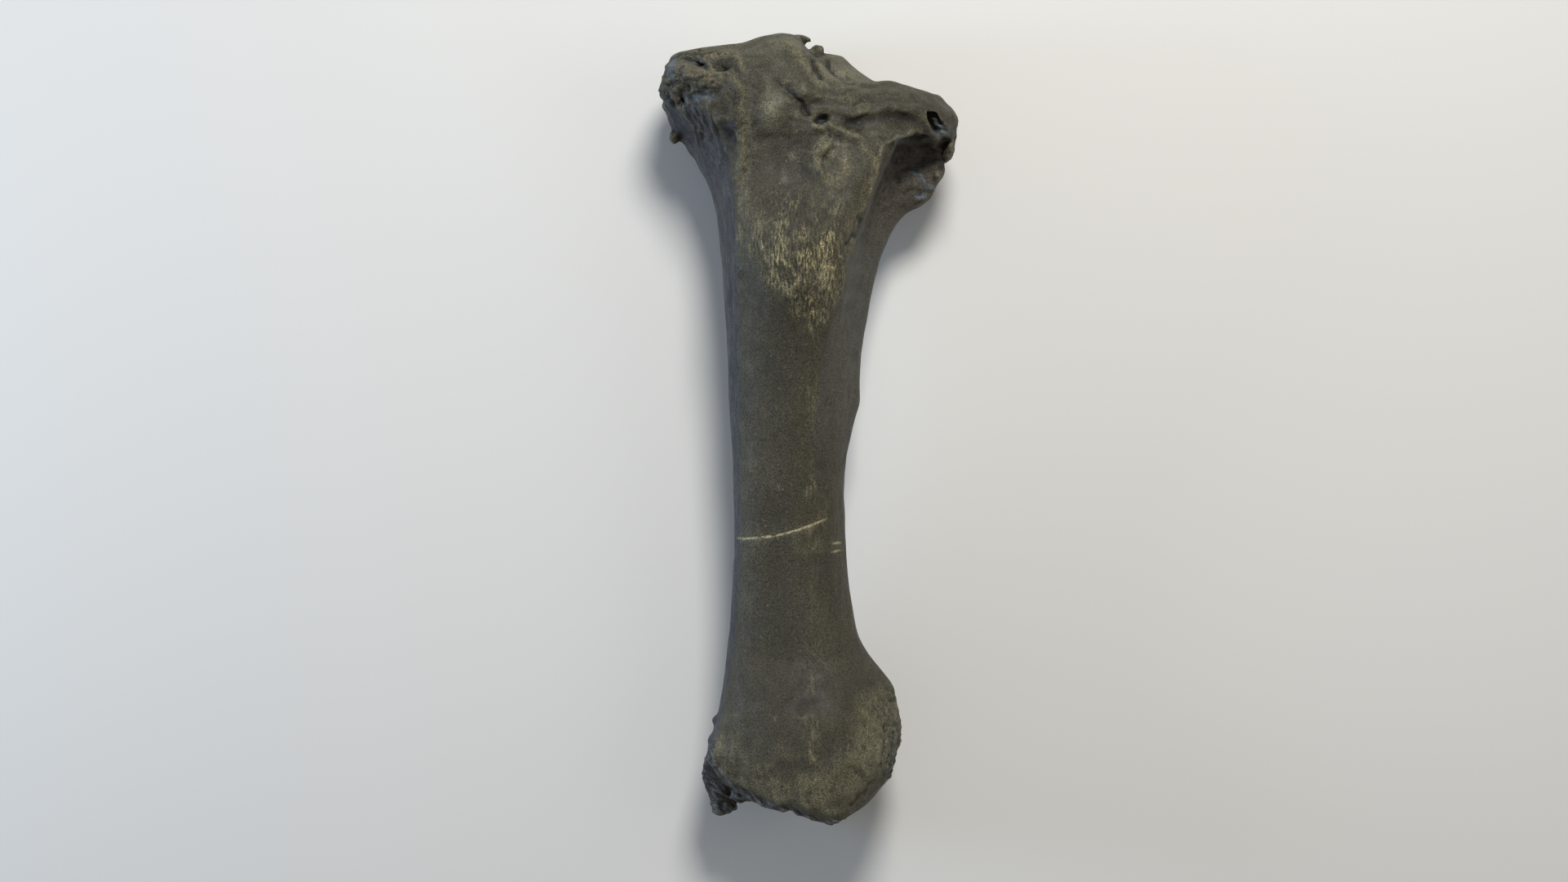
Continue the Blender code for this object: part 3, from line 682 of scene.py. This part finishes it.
def named_relief(points, region):
    """The height of the forms that have a place of their own."""
    wander = np.stack([NOISE.at(points / DRAWN_SCALE + shift) for shift in (50, 80)], axis=1)
    drawn = points[:, :2] + DRAWN_REACH * wander
    strength = 1 + DRAWN_UNEVENNESS * NOISE.at(points / DRAWN_SCALE + 20)
    relief = np.zeros(len(points))
    for centre, radii, turn, height in SWELLS:
        relief += height * oval(drawn, centre, radii, turn)
    for line, half_width, height in LINES:
        relief += height * strength * line_bell(drawn, line, half_width)
    return relief * region.seen * (points[:, 2] > 50)


def scratch_share(points):
    """1 along the middle of the scratch and the short marks."""
    x, y = points[:, 0], points[:, 1]
    share = np.zeros(len(points))
    for (a, b, c), (start, end) in ((SCRATCH, SCRATCH_ENDS), *MARKS):
        apart = np.abs(y - (a + b * x + c * x * x))
        inside = smooth_step(start - 2, start + 4, x) * smooth_step(end + 3, end - 6, x)
        share = np.maximum(share, np.exp(-(apart / SCRATCH_HALF_WIDTH) ** 2) * inside)
    return share


def store(mesh, name, values):
    attribute = mesh.attributes.new(name, "FLOAT", "POINT")
    attribute.data.foreach_set("value", np.asarray(values, np.float32))


def store_masks(mesh):
    """Stores what the material needs: the kinds of surface, and how far each point stands out."""
    points, normals = points_of(mesh), normals_of(mesh)
    region = Region(points, normals)
    # The material paints shade in crevices and hollows, and highlights on raised points, from how far each
    # point stands out
    for name, times, full in (("proud", NEAR_TIMES, NEAR_HEIGHT), ("broad", FAR_TIMES, FAR_HEIGHT)):
        height = ((points - softened(mesh, points, times)) * normals).sum(axis=1)
        store(mesh, name, np.clip(0.5 + height / full, 0, 1))
    for name in MASKS:
        store(mesh, name, getattr(region, name))


def make_bone(node):
    """The bone's fine surface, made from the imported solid."""
    mesh = rough_base(node)
    points = points_of(mesh)
    y = points[:, 1]
    ends = np.maximum(smooth_step(215.0, 245.0, y), smooth_step(-285.0, -300.0, y))
    points = softened(mesh, points, SOFTEN_ENDS)
    points = softened(mesh, points, SOFTEN_SHAFT - SOFTEN_ENDS, 1 - ends)
    points = sharpened(mesh, points, ends)
    set_points(mesh, points)
    normals = normals_of(mesh)
    region = Region(points, normals)
    relief = uneven_relief(points, region) * (1 - FACET_CALM * region.facets)
    relief += malleolus_relief(points, region) + named_relief(points, region)
    relief -= SCRATCH_DEPTH * scratch_share(points) * region.front
    off_floor = smooth_step(0.5, 5.0, points[:, 2])
    points += normals * (relief * off_floor)[:, None]
    points[:, 2] = np.maximum(points[:, 2], 0.0)
    set_points(mesh, points)
    full = linked_object("full", mesh)
    with_modifier(full, "DECIMATE", ratio=TRIANGLES / (2.0 * len(mesh.polygons)))
    fine = applied_mesh(full, "fossil_bone")
    fine.polygons.foreach_set("use_smooth", np.ones(len(fine.polygons), bool))
    store_masks(fine)
    fine.materials.append(bone_material())
    return linked_object("fossil_bone", fine)


class Shading:
    """Short ways to add and join the nodes of one material."""

    def __init__(self, name):
        self.material = bpy.data.materials.new(name)
        self.material.use_nodes = True
        self.tree = self.material.node_tree
        self.shader = self.tree.nodes["Principled BSDF"]

    def node(self, kind, **settings):
        made = self.tree.nodes.new(kind)
        for key, value in settings.items():
            setattr(made, key, value)
        return made

    def put(self, value, target):
        """Joins an output to a socket, or sets the socket to a plain value."""
        if isinstance(value, bpy.types.NodeSocket):
            self.tree.links.new(value, target)
        else:
            target.default_value = value

    def attribute(self, name):
        return self.node("ShaderNodeAttribute", attribute_name=name).outputs["Fac"]

    def math(self, operation, first, second=0.0, third=0.0):
        made = self.node("ShaderNodeMath", operation=operation)
        for value, socket in zip((first, second, third), made.inputs):
            self.put(value, socket)
        return made.outputs[0]

    def times(self, *values):
        total = values[0]
        for value in values[1:]:
            total = self.math("MULTIPLY", total, value)
        return total

    def ramp(self, value, low, high, to_low=0.0, to_high=1.0):
        made = self.node("ShaderNodeMapRange", interpolation_type="SMOOTHSTEP")
        for key, given in (("Value", value), ("From Min", low), ("From Max", high),
                           ("To Min", to_low), ("To Max", to_high)):
            self.put(given, made.inputs[key])
        return made.outputs[0]

    def mix(self, share, first, second, blend_type="MIX"):
        made = self.node("ShaderNodeMix", data_type="RGBA", blend_type=blend_type)
        self.put(share, made.inputs["Factor"])
        self.put(first, made.inputs["A"])
        self.put(second, made.inputs["B"])
        return made.outputs["Result"]

    def noise(self, place, scale, detail=3.0, roughness=0.55):
        """Noise of a scale in millimetres, which may differ along x, y and z."""
        moved = self.node("ShaderNodeVectorMath", operation="MULTIPLY")
        self.put(place, moved.inputs[0])
        moved.inputs[1].default_value = [1.0 / (MM * part) for part in scale]
        made = self.node("ShaderNodeTexNoise")
        self.put(moved.outputs[0], made.inputs["Vector"])
        made.inputs["Scale"].default_value = 1.0
        made.inputs["Detail"].default_value = detail
        made.inputs["Roughness"].default_value = roughness
        return made.outputs["Fac"]

    def bump(self, height, strength, depth, normal):
        """A bump over an earlier one, or the first where normal is None."""
        made = self.node("ShaderNodeBump")
        made.inputs["Distance"].default_value = depth * MM
        self.put(strength, made.inputs["Strength"])
        self.put(height, made.inputs["Height"])
        if normal is not None:
            self.put(normal, made.inputs["Normal"])
        return made.outputs["Normal"]

    def grey(self, value):
        made = self.node("ShaderNodeCombineColor")
        for socket in made.inputs:
            self.put(value, socket)
        return made.outputs["Color"]


def colour(name):
    """A named colour as the linear values that Blender takes."""
    return tuple(((c / 255 + 0.055) / 1.055) ** 2.4 for c in TINTS[name]) + (1.0,)


def scratch_nodes(s, place):
    """The share of pale, broken scratch at a place, from the curves of the scratch and the marks."""
    split = s.node("ShaderNodeSeparateXYZ")
    s.put(place, split.inputs[0])
    x, y, z = (s.math("DIVIDE", split.outputs[axis], MM) for axis in "XYZ")
    ragged = s.math("MULTIPLY_ADD", s.noise(place, (4.0, 1.5, 4.0), 2.0), 1.6, -0.8)
    total = 0.0
    for (a, b, c), (start, end) in ((SCRATCH, SCRATCH_ENDS), *MARKS):
        curve = s.math("MULTIPLY_ADD", s.math("MULTIPLY_ADD", x, c, b), x, a)
        apart = s.math("ABSOLUTE", s.math("ADD", s.math("SUBTRACT", y, curve), ragged))
        inside = s.times(s.ramp(x, start - 2, start + 5), s.ramp(x, end + 3, end - 8))
        share = s.times(s.ramp(apart, 1.7, 0.5), inside)
        total = s.math("MAXIMUM", total, share)
    front = s.ramp(z, 85, 105)
    broken = s.ramp(s.noise(place, (6.0, 2.0, 6.0), 3.0), 0.25, 0.5)
    return s.times(total, front, broken)


def fanned_place(s, place):
    """A place whose x is the share across the medial side, so that fine lines can fan along it."""
    split = s.node("ShaderNodeSeparateXYZ")
    s.put(place, split.inputs[0])
    joined = s.node("ShaderNodeCombineXYZ")
    s.put(s.times(s.attribute("fan"), FAN_WIDTH * MM), joined.inputs["X"])
    s.put(split.outputs["Y"], joined.inputs["Y"])
    s.put(s.times(split.outputs["Z"], 0.35), joined.inputs["Z"])
    return joined.outputs[0]


def bone_tint(s, place, fibre, lines):
    """Dark grey-brown with fine speckle, yellowish where it is rough, bluish along the medial side from
    painted cool side light, with painted cool glints, painted shade in corners, crevices and hollows, and
    painted highlights on raised edges, lines and ridges.
    """
    mottle = s.noise(place, (40, 70, 40), 4.0)
    cloud = s.noise(place, (9, 12, 9), 5.0, 0.6)
    patch = s.noise(place, (16, 20, 16), 3.0, 0.6)
    fleck = s.noise(place, (2.6, 3.2, 2.6), 1.0)
    tan, tuberosity, malleolus = s.attribute("tan"), s.attribute("tuberosity"), s.attribute("malleolus")
    proud, broad, seen = s.attribute("proud"), s.attribute("broad"), s.attribute("seen")
    medial, blue = s.attribute("medial"), s.attribute("blue")
    glow = s.math("MULTIPLY_ADD", s.ramp(s.noise(place, (11, 22, 11), 3.0), 0.38, 0.64), 0.8, 0.2)
    fibrous = s.math("MAXIMUM", tuberosity, s.times(tan, 0.2))
    # The medial side's own dark grey with painted bluish side light, stronger where it faces the front
    medial_tint_and_cool_light = s.times(medial, s.math("MULTIPLY_ADD", seen, 0.3, 0.45))
    striated = s.times(medial, s.math("MULTIPLY_ADD", seen, 0.7, 0.3))
    # Strength of the painted shade in broad hollows, weaker where cool glints are painted
    hollow_shade = s.math("MULTIPLY_ADD", blue, -0.5, 0.6)
    layers = (
        (s.times(s.attribute("outer_plane"), 0.6), "outer plane"),
        (s.times(s.ramp(patch, 0.5, 0.75), 0.35), "brown patch"),
        (s.times(s.ramp(cloud, 0.4, 0.8), 0.4), "grey cloud"),
        (s.times(tan, s.ramp(cloud, 0.3, 0.6), 0.75), "rough tan"),
        # Painted shade on the rough corner
        (s.times(s.attribute("corner"), 0.4), "rough corner"),
        (s.times(s.attribute("pale"), s.ramp(cloud, 0.2, 0.6), 0.85), "pale bone"),
        (s.times(s.attribute("facets"), 0.6), "facet"),
        (s.times(tuberosity, s.ramp(fibre, 0.5, 0.34), 0.65), "between fibres"),
        (s.times(fibrous, s.ramp(fibre, 0.42, 0.7), glow), "fibre"),
        (medial_tint_and_cool_light, "medial side"),
        # Painted highlights along the fine medial lines, and painted shade between them
        (s.times(striated, s.ramp(lines, 0.5, 0.68), 0.55), "painted highlight on medial lines"),
        (s.times(striated, s.ramp(lines, 0.46, 0.3), 0.6), "painted shade between medial lines"),
        (s.times(malleolus, 0.75), "malleolus"),
        # Painted bluish highlights on the malleolus's raised ridges
        (s.times(malleolus, s.ramp(proud, 0.52, 0.75), 0.7), "painted malleolus ridge highlight"),
        # The fossa's brown, lightened as painted fill light in the ledge's shadow
        (s.times(s.attribute("fossa"), 0.8), "fossa"),
        # Painted cool light glints in the hollows and on the broken faces
        (s.times(blue, 0.75), "painted cool light"),
        # Painted shade where the surface sinks below its neighbours
        (s.times(s.ramp(proud, 0.5, 0.15), 0.75), "painted crevice shade"),
        # Painted highlights where the surface stands proud of its neighbours
        (s.times(s.ramp(proud, 0.54, 0.9), 0.4), "painted edge highlight"),
        (s.times(s.ramp(broad, 0.42, 0.0), hollow_shade), "painted hollow shade"),
        (s.times(s.ramp(fleck, 0.66, 0.76), s.ramp(patch, 0.3, 0.6), 0.4), "fleck"),
        (s.times(scratch_nodes(s, place), 0.85), "scratch"),
    )
    tint = s.mix(s.ramp(mottle, 0.3, 0.7), colour("ground"), colour("light ground"))
    for share, name in layers:
        tint = s.mix(share, tint, colour(name))
    return s.mix(1.0, tint, s.grey(bone_shade(s, place)), "MULTIPLY")


def bone_shade(s, place):
    """How light the colour is: fine grains and long streaks, with painted shade at the knee and in the painted
    shade spots.
    """
    grain = s.noise(place, (1.25, 1.4, 1.25), 2.0, 0.6)
    streak = s.noise(place, (2.4, 20, 2.4), 3.0)
    speckle = s.math("MULTIPLY_ADD", s.math("SUBTRACT", grain, 0.5), 3.4, 1.0)
    streaks = s.math("MULTIPLY_ADD", s.math("SUBTRACT", streak, 0.5), 0.35, 1.0)
    # Painted shade: the knee end is darkened, because the key light from above falls most strongly on its
    # upper faces
    knee = s.math("MULTIPLY_ADD", s.attribute("knee"), -0.12, 0.86)
    # The last factor is painted shade from the spots
    return s.times(speckle, streaks, knee, s.math("SUBTRACT", 1.0, s.attribute("painted_shade")))


def bone_material():
    s = Shading("fossil_bone")
    place = s.node("ShaderNodeTexCoord").outputs["Object"]
    fibre = s.noise(place, (2.0, 9.5, 3.2), 4.0, 0.68)
    lines = s.noise(fanned_place(s, place), (1.5, 45, 2.6), 3.0, 0.6)
    s.put(bone_tint(s, place, fibre, lines), s.shader.inputs["Base Color"])
    s.put(s.ramp(s.noise(place, (8, 12, 8)), 0.3, 0.7, 0.55, 0.72), s.shader.inputs["Roughness"])
    s.shader.inputs["Specular IOR Level"].default_value = 0.36

    rough = s.math("MAXIMUM", s.attribute("tan"), s.attribute("corner"))
    # Height, strength and depth in millimetres
    bumps = (
        (s.noise(place, (1.5, 1.8, 1.5), 2.0, 0.6), 0.6, 0.55),
        (s.noise(place, (2.4, 22, 2.4), 3.0), 0.3, 0.5),
        (s.noise(place, (3.0, 3.0, 3.0), 3.0, 0.6), s.math("MULTIPLY_ADD", rough, 0.6, 0.15), 1.0),
        (lines, s.times(s.attribute("medial"), 0.9), 1.2),
        (fibre, s.times(s.attribute("tuberosity"), 0.9), 2.4),
    )
    normal = None
    for height, strength, depth in bumps:
        normal = s.bump(height, strength, depth, normal)
    s.put(normal, s.shader.inputs["Normal"])
    return s.material


def make_floor():
    mesh = bmesh.new()
    bmesh.ops.create_grid(mesh, x_segments=1, y_segments=1, size=FLOOR_REACH)
    data = mesh_from(mesh, "floor")
    floor = linked_object("floor", data)
    floor.location.z = -FLOOR_DROP
    material = bpy.data.materials.new("pale_floor")
    material.use_nodes = True
    shader = material.node_tree.nodes["Principled BSDF"]
    shader.inputs["Base Color"].default_value = colour("floor")
    shader.inputs["Roughness"].default_value = 0.9
    data.materials.append(material)


def area_light(name, place, size, power, tint):
    """A soft round light that shines on the bone."""
    data = bpy.data.lights.new(name, "AREA")
    data.shape = "DISK"
    data.size = size
    data.energy = power
    data.color = tint
    light = linked_object(name, data)
    light.location = place
    light.rotation_mode = "QUATERNION"
    light.rotation_quaternion = (Vector(place) - Vector(LIT_PLACE)).to_track_quat("Z", "Y")


def make_lights():
    for name, place, size, power, tint in LIGHTS:
        area_light(name, place, size, power, tint)
    world = bpy.data.worlds.new("studio")
    bpy.context.scene.world = world
    world.use_nodes = True
    background = world.node_tree.nodes["Background"]
    background.inputs["Color"].default_value = WORLD_COLOUR
    background.inputs["Strength"].default_value = WORLD_STRENGTH


def make_camera():
    data = bpy.data.cameras.new("camera")
    data.sensor_width = SENSOR
    data.lens = SENSOR * (CAMERA_HEIGHT - REFERENCE_HEIGHT) / (PICTURE_WIDTH * PIXEL)
    data.clip_start, data.clip_end = 0.05, 50.0
    camera = linked_object("camera", data)
    camera.location = (VIEW_CENTRE[0] * MM, VIEW_CENTRE[1] * MM, CAMERA_HEIGHT * MM)
    bpy.context.scene.camera = camera


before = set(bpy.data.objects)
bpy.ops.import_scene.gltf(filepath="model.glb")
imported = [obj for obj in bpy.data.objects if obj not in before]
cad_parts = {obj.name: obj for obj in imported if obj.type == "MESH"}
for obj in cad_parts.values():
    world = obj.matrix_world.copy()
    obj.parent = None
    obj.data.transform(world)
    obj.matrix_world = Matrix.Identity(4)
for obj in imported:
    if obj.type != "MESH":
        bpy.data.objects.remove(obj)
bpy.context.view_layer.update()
bpy.context.scene.view_settings.view_transform = "Standard"
make_camera()
bone = make_bone(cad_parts["tibia"])
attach(bone, "root")
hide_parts("tibia")
make_floor()
make_lights()
